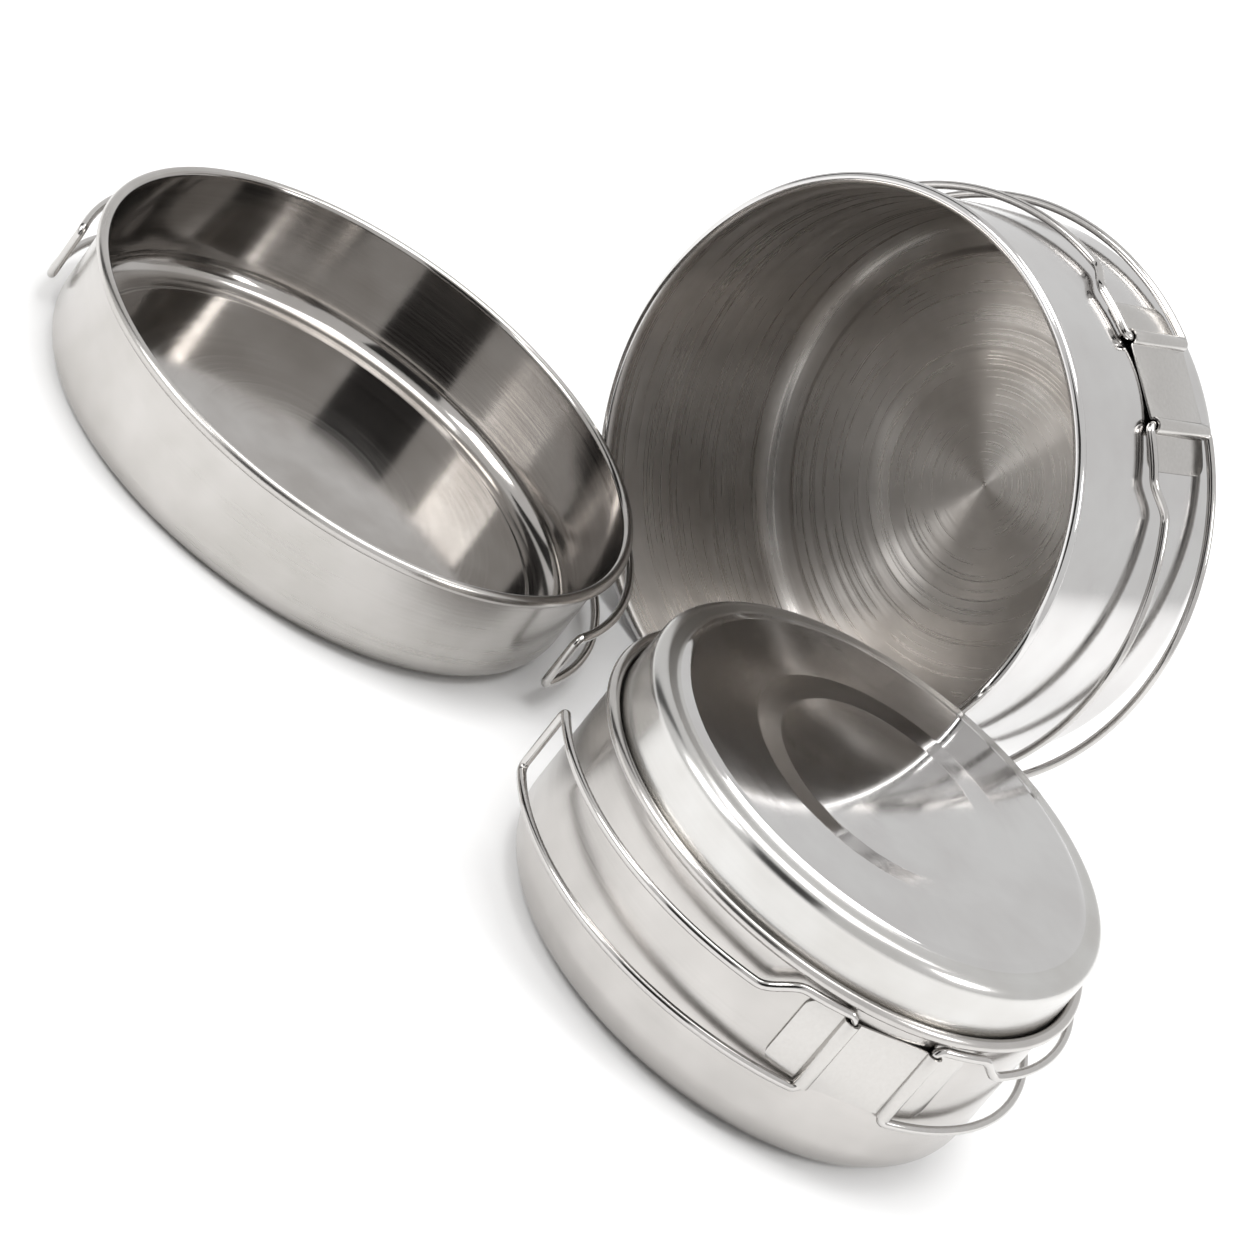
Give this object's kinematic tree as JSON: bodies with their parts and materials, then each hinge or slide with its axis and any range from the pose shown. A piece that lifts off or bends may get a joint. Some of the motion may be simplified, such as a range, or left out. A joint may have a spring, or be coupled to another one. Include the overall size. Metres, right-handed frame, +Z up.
{
  "type": "nesting cook set",
  "caption": "Nesting steel camp cook set: shallow pan, large pot on its side, and small pot with drop-in lid, each vessel with folding wire loop handles.",
  "frame": {"origin": "on the surface the set stands on, at the middle of the whole set's bounding box", "axes": "+Z up; +X to the right along the row of vessels; +Y away, towards the base of the large pot lying on its side"},
  "size_m": [0.3976, 0.3474, 0.1899],
  "materials": {
    "pot_sheet": "stainless sheet, satin-polished outside, spun brushed inside",
    "pan_sheet": "stainless sheet, satin outside, bright-polished inside with faint spin marks",
    "lid_sheet": "mirror-polished stainless top with a satin skirt",
    "bracket_sheet": "bright-rolled stainless strip",
    "handle_wire": "bright-drawn, tumble-polished stainless wire"
  },
  "bodies": {
    "pan": {"pan_shell": "pan_sheet", "pan_bracket": "bracket_sheet"},
    "pan_left_loop": {"pan_left_loop": "handle_wire"},
    "pan_right_loop": {"pan_right_loop": "handle_wire"},
    "small_pot": {"small_pot_shell": "pot_sheet", "small_pot_bracket": "bracket_sheet"},
    "small_pot_left_loop": {"small_pot_left_loop": "handle_wire"},
    "small_pot_right_loop": {"small_pot_right_loop": "handle_wire"},
    "lid": {"lid": "lid_sheet"},
    "big_pot": {"big_pot_shell": "pot_sheet", "big_pot_bracket": "bracket_sheet"},
    "big_pot_left_loop": {"big_pot_left_loop": "handle_wire"},
    "big_pot_right_loop": {"big_pot_right_loop": "handle_wire"}
  },
  "joints": [
    {"name": "small_pot_lift", "type": "slide", "parent": "pan", "child": "small_pot", "axis": [0, 0, 1], "range_m": [0, 0.12]},
    {"name": "lid_lift", "type": "slide", "parent": "small_pot", "child": "lid", "axis": [0, 0, 1], "range_m": [0, 0.06]},
    {"name": "big_pot_lift", "type": "slide", "parent": "pan", "child": "big_pot", "axis": [0, 0, 1], "range_m": [0, 0.12]},
    {"name": "pan_left_loop_swing", "type": "hinge", "parent": "pan", "child": "pan_left_loop", "pos_m": [-0.07351, 0.10331, 0.0219], "axis": [0, 0, 1], "range_deg": [-5, 1]},
    {"name": "pan_right_loop_swing", "type": "hinge", "parent": "pan", "child": "pan_right_loop", "pos_m": [-0.10332, 0.10539, 0.0219], "axis": [0, 0, -1], "range_deg": [-2, 93]},
    {"name": "small_pot_left_loop_swing", "type": "hinge", "parent": "small_pot", "child": "small_pot_left_loop", "pos_m": [0.13784, -0.16304, 0.0439], "axis": [0, 0, 1], "range_deg": [-6, 89]},
    {"name": "small_pot_right_loop_swing", "type": "hinge", "parent": "small_pot", "child": "small_pot_right_loop", "pos_m": [0.16343, -0.14767, 0.0439], "axis": [0, 0, -1], "range_deg": [-4, 91]},
    {"name": "big_pot_left_loop_swing", "type": "hinge", "parent": "big_pot", "child": "big_pot_left_loop", "pos_m": [0.13015, 0.10567, 0.16725], "axis": [-0.5041, -0.8626, 0.0425], "range_deg": [-4, 91]},
    {"name": "big_pot_right_loop_swing", "type": "hinge", "parent": "big_pot", "child": "big_pot_right_loop", "pos_m": [0.10735, 0.11964, 0.18057], "axis": [0.5041, 0.8626, -0.0425], "range_deg": [-2, 93]}
  ]
}
